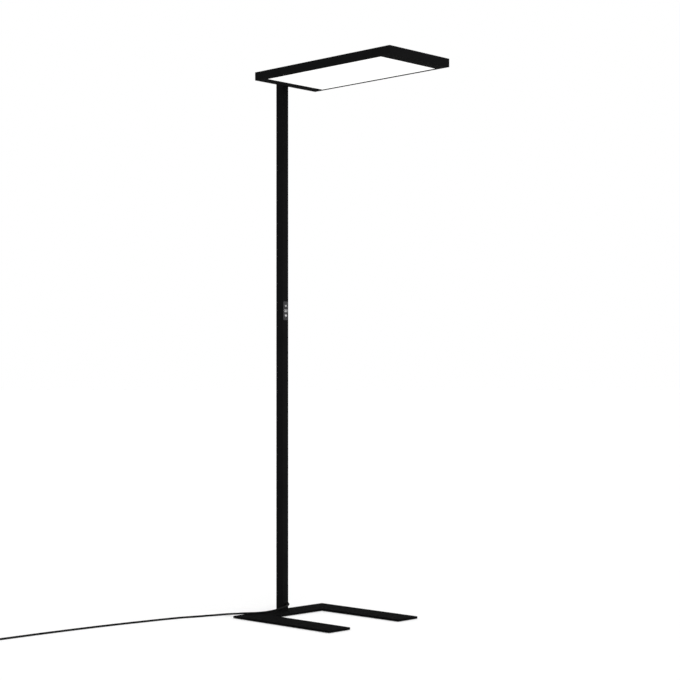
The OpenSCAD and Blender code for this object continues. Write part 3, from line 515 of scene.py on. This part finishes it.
white_print = coated("white_print", (0.72, 0.72, 0.72), (0.86, 0.86, 0.86),
                     rough=(0.5, 0.6), size=0.0002, depth=0.00001, marks=0.01)
PRINT_T = 0.00003
PRINT_GAP = 0.00001
PRINT_SAME_POINT = 1e-7
FACING_FRONT = Matrix.Rotation(math.radians(90), 4, "Y")
ARC_STEPS_PER_TURN = 48
DISC_SIDES = 32
SUN_RAYS = 8


def strip(mesh, z, width, height, angle=0.0):
    """A flat bar of a printed sign, this far above its sign's middle and turned about it."""
    place = Matrix.Rotation(angle, 4, "X") @ Matrix.Translation((0, 0, z)) @ FACING_FRONT
    size = Matrix.Diagonal((height / 2, width / 2, 1, 1))
    bmesh.ops.create_grid(mesh, x_segments=1, y_segments=1, size=1, matrix=place @ size)


def arc(mesh, y, z, radius, width, start, angle):
    """A flat arc of a printed sign, from an angle that is counted from the top."""
    centre = Vector((0, y, z))
    inner, outer = (centre + Matrix.Rotation(start, 3, "X") @ Vector((0, 0, radius + side))
                    for side in (-width / 2, width / 2))
    rim = [mesh.verts.new(inner), mesh.verts.new(outer)]
    edge = mesh.edges.new(rim)
    bmesh.ops.spin(mesh, geom=rim + [edge], cent=centre, axis=(1, 0, 0), angle=angle,
                   steps=round(ARC_STEPS_PER_TURN * angle / math.tau))


def sun(mesh, disc_r, ray_from, ray_l, ray_w):
    """A sun sign: a disc with rays round it."""
    bmesh.ops.create_circle(mesh, cap_ends=True, segments=DISC_SIDES, radius=disc_r,
                            matrix=FACING_FRONT)
    for i in range(SUN_RAYS):
        strip(mesh, ray_from + ray_l / 2, ray_w, ray_l, math.tau * i / SUN_RAYS)


def print_on(name, mesh, source, body):
    """The sign becomes a thin film on its key's face."""
    low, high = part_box(source)
    bmesh.ops.remove_doubles(mesh, verts=mesh.verts, dist=PRINT_SAME_POINT)
    bmesh.ops.recalc_face_normals(mesh, faces=mesh.faces)
    bottom = mesh.faces[:]
    made = bmesh.ops.extrude_face_region(mesh, geom=bottom)["geom"]
    top = [v for v in made if isinstance(v, bmesh.types.BMVert)]
    bmesh.ops.translate(mesh, verts=top, vec=(PRINT_T, 0, 0))
    bmesh.ops.recalc_face_normals(mesh, faces=mesh.faces)
    bmesh.ops.translate(mesh, verts=mesh.verts,
                        vec=(high.x + PRINT_GAP, (low.y + high.y) / 2, (low.z + high.z) / 2))
    placed(name, mesh, white_print, body, "white_board")


mesh = bmesh.new()
sun(mesh, disc_r=0.0019, ray_from=0.0028, ray_l=0.0019, ray_w=0.0009)
print_on("small_sun_print", mesh, "key_up", "upper_key")

mesh = bmesh.new()
sun(mesh, disc_r=0.0025, ray_from=0.0034, ray_l=0.0022, ray_w=0.0011)
print_on("large_sun_print", mesh, "key_down", "lower_key")

# A pill-shaped outline round the power sign: an open ring with a stroke through its gap
PILL_W = 0.0162
PILL_H = 0.0076
LINE_W = 0.0009
RING_R = 0.0019
RING_Z = -0.0002
RING_START = math.radians(40)
RING_ANGLE = math.radians(280)
STROKE_L = 0.0024
STROKE_Z = 0.0014
mesh = bmesh.new()
for side in (-1, 1):
    arc(mesh, side * (PILL_W - PILL_H) / 2, 0, PILL_H / 2, LINE_W,
        start=0 if side < 0 else math.pi, angle=math.pi)
    strip(mesh, side * PILL_H / 2, PILL_W - PILL_H, LINE_W)
arc(mesh, 0, RING_Z, RING_R, LINE_W, RING_START, RING_ANGLE)
strip(mesh, STROKE_Z, LINE_W, STROKE_L)
print_on("power_print", mesh, "key_power", "middle_key")


# ---- Behind the keypad ----
# A moulded carrier snaps into the post. It guides the keys and holds a green board with
# three short-travel switches, on two bosses with small screws.
board_green, tree, shader = new_material("green_board", {"Roughness": 0.35})
turned = joined(tree, "ShaderNodeMapping", {"Vector": object_place(tree), "Rotation": ALONG_X})
tracks = joined(tree, "ShaderNodeTexBrick", {"Vector": turned.outputs[0], "Scale": 1.0,
                                             "Color1": (0.012, 0.11, 0.04, 1),
                                             "Color2": (0.016, 0.14, 0.05, 1),
                                             "Mortar": (0.03, 0.22, 0.08, 1),
                                             "Mortar Size": 0.00025, "Brick Width": 0.006,
                                             "Row Height": 0.0018})
bump = joined(tree, "ShaderNodeBump", {"Height": tracks.outputs["Fac"], "Strength": 0.6,
                                       "Distance": 0.00004})
tree.links.new(tracks.outputs["Color"], shader.inputs["Base Color"])
tree.links.new(bump.outputs[0], shader.inputs["Normal"])
dress(board_green, "keypad_board")
dress(black_plastic, "keypad_carrier", "key_switches")
dress(zinc_plate, "board_screws")


# ---- Frame of the head ----
# Four extruded aluminium profiles, mitred at the corners and pressed together on bare
# aluminium angles. Powder-coated black; the bottom flanges hold the light panel.
for name, source in (("frame_left", "head_side_left"), ("frame_right", "head_side_right"),
                     ("frame_post_end", "head_end_post"), ("frame_far_end", "head_end_far")):
    rounded(name, source, black_coat, "black_aluminium", radius=0.0003)
dress(sawn_aluminium, "corner_keys")


# ---- Cover of the head ----
# Black sheet screwed into the frame's ledge. Through its window a satin opal sheet sends
# part of the light to the ceiling.
rounded("cover", "top_cover", black_coat, "black_aluminium", radius=0.0002)
dress(black_oxide, "cover_screws")


# ---- Light panel and window ----
# Opal acrylic with a fine satin grain, lit evenly from behind. The panel fills the opening
# of the frame, and the smaller window lies under the cover.
def lit_opal(name, strength):
    """White acrylic that glows, with fine round prisms moulded all over it."""
    material = coated(name, (0.48, 0.48, 0.47), (0.52, 0.52, 0.52), rough=(0.5, 0.6),
                      size=0.0012, depth=0.00004, own={"Emission Strength": strength},
                      marks=0.2)
    tree = material.node_tree
    prisms = joined(tree, "ShaderNodeTexVoronoi", {"Vector": object_place(tree),
                                                   "Scale": 800.0, "Randomness": 0.35})
    tint = between(tree, prisms.outputs["Distance"], (1.0, 1.0, 1.0, 1), (0.84, 0.835, 0.82, 1))
    tree.links.new(tint, tree.nodes["Principled BSDF"].inputs["Emission Color"])
    return material


rounded("panel", "light_panel", lit_opal("lit_panel", 0.68), "opal", radius=0.0003)
rounded("window", "top_window", lit_opal("lit_window", 0.3), "opal", radius=0.0002)


# ---- Inside the head ----
# A white folded tray closes the light box. Rows of diodes on white boards shine down and
# up from it, fed by a driver in a metal case. The mains lead ends in a terminal block.
white_sheet = coated("white_sheet", (0.78, 0.78, 0.77), (0.88, 0.88, 0.87),
                     rough=(0.4, 0.5), size=0.0006, depth=0.00002)
white_plastic = coated("white_plastic", (0.66, 0.65, 0.6), (0.78, 0.77, 0.72),
                       rough=(0.4, 0.5), size=0.0004, depth=0.00002)
dress(white_sheet, "light_tray")
dress(white_plastic, "terminal_block")
dress(sawn_aluminium, "led_driver")
dress(pad_rubber, "driver_pads")
dress(lead_sheath, "led_leads")

DIODE_LAYER = 0.0005
DIODE_YELLOW = (0.85, 0.62, 0.12, 1)


def diode_board(name, source, top):
    """White board with yellow diodes, which are all that reaches its outermost layer."""
    material = coated(name, (0.7, 0.7, 0.68), (0.84, 0.84, 0.82), rough=(0.35, 0.45),
                      size=0.0005, depth=0.00002)
    tree = material.node_tree
    base_colour = tree.nodes["Principled BSDF"].inputs["Base Color"]
    ground = base_colour.links[0].from_socket
    apart = joined(tree, "ShaderNodeSeparateXYZ", {"Vector": object_place(tree)})
    low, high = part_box(source)
    level = high.z - DIODE_LAYER if top else low.z + DIODE_LAYER
    diode = joined(tree, "ShaderNodeMath", {0: apart.outputs["Z"], 1: level},
                   operation="GREATER_THAN" if top else "LESS_THAN")
    tree.links.new(between(tree, diode.outputs[0], ground, DIODE_YELLOW), base_colour)
    dress(material, source)


diode_board("diodes_down", "led_boards_down", top=False)
diode_board("diodes_up", "led_boards_up", top=True)


# ---- Studio ----
# A plain white floor that takes the lamp's soft shadow, in a bright even room. A broad
# soft light from the front right makes the faces on that side a little lighter.
FLOOR_SIZE = 400
FLOOR_LIFT = 0.22
WHITE = (1, 1, 1, 1)
ROOM_LIGHT = 0.75
ROOM_SEEN = 1.0
SOFT_ENERGY = 1.4
SOFT_SPREAD = math.radians(80)
SOFT_TOWARDS = Vector((-0.8, 0.15, -0.58))


def seen_directly(tree):
    """1 for what the camera sees, also by reflection or through glass, and 0 for light."""
    path = tree.nodes.new("ShaderNodeLightPath").outputs
    mirrored = joined(tree, "ShaderNodeMath", {0: path["Is Camera Ray"],
                                               1: path["Is Glossy Ray"]},
                      operation="MAXIMUM")
    return joined(tree, "ShaderNodeMath", {0: mirrored.outputs[0],
                                           1: path["Is Transmission Ray"]},
                  operation="MAXIMUM").outputs[0]


floor_white, tree, shader = new_material("floor_white", {
    "Base Color": (0.8, 0.8, 0.8, 1), "Roughness": 0.9, "Specular IOR Level": 0.0,
    "Emission Color": WHITE})
lift = joined(tree, "ShaderNodeMath", {0: seen_directly(tree), 1: FLOOR_LIFT},
              operation="MULTIPLY")
tree.links.new(lift.outputs[0], shader.inputs["Emission Strength"])
mesh = bmesh.new()
bmesh.ops.create_grid(mesh, x_segments=1, y_segments=1, size=FLOOR_SIZE / 2)
floor_data = bpy.data.meshes.new("floor")
mesh.to_mesh(floor_data)
mesh.free()
floor_data.materials.append(floor_white)
floor = in_scene("floor", floor_data)

world = bpy.data.worlds.new("room")
bpy.context.scene.world = world
world.use_nodes = True
tree = world.node_tree
room = tree.nodes["Background"]
room.inputs["Color"].default_value = WHITE
strength = joined(tree, "ShaderNodeMapRange", {"Value": seen_directly(tree),
                                               "To Min": ROOM_LIGHT, "To Max": ROOM_SEEN})
tree.links.new(strength.outputs[0], room.inputs["Strength"])

soft_data = bpy.data.lights.new("soft_light", "SUN")
soft_data.angle = SOFT_SPREAD
soft_data.energy = SOFT_ENERGY
soft_light = in_scene("soft_light", soft_data)
soft_light.rotation_euler = SOFT_TOWARDS.to_track_quat("-Z", "Y").to_euler()

bpy.context.scene.view_settings.view_transform = "Standard"
